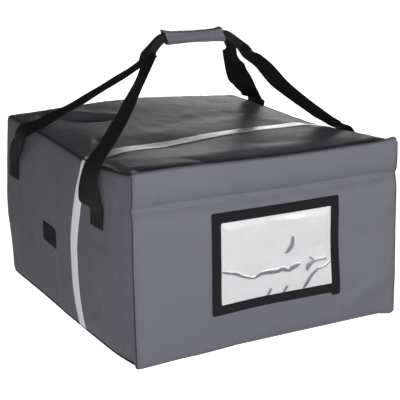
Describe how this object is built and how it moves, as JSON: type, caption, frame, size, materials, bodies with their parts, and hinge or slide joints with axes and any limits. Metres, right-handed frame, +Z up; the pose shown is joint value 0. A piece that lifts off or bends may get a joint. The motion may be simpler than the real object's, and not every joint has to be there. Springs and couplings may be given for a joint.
{
  "type": "insulated pizza delivery bag",
  "caption": "Soft padded box bag with a closed front flap, clear pocket, reflective stripe and webbing straps joined in a handle wrap.",
  "frame": {"origin": "on the ground under the middle of the bag's bounding box", "axes": "+X to the right along the front, -Y out of the front flap, +Z up"},
  "size_m": [0.5608, 0.5782, 0.4997],
  "materials": {
    "bag_cloth": "coated grey cloth over foam padding",
    "webbing": "black woven webbing",
    "reflective_tape": "silver reflective tape",
    "badge": "black woven badge, blank",
    "insert": "white card sheet",
    "film": "clear soft film"
  },
  "bodies": {
    "root": {"left_panel": "bag_cloth", "right_panel": "bag_cloth", "back_panel": "bag_cloth", "bottom_panel": "bag_cloth", "lid_panel": "bag_cloth", "front_flap": "bag_cloth", "handle_wrap": "bag_cloth", "front_strap": "webbing", "back_strap": "webbing", "window_binding": "webbing", "window_insert": "insert", "window_film": "film", "reflective_stripe": "reflective_tape", "side_badge": "badge"}
  },
  "joints": []
}
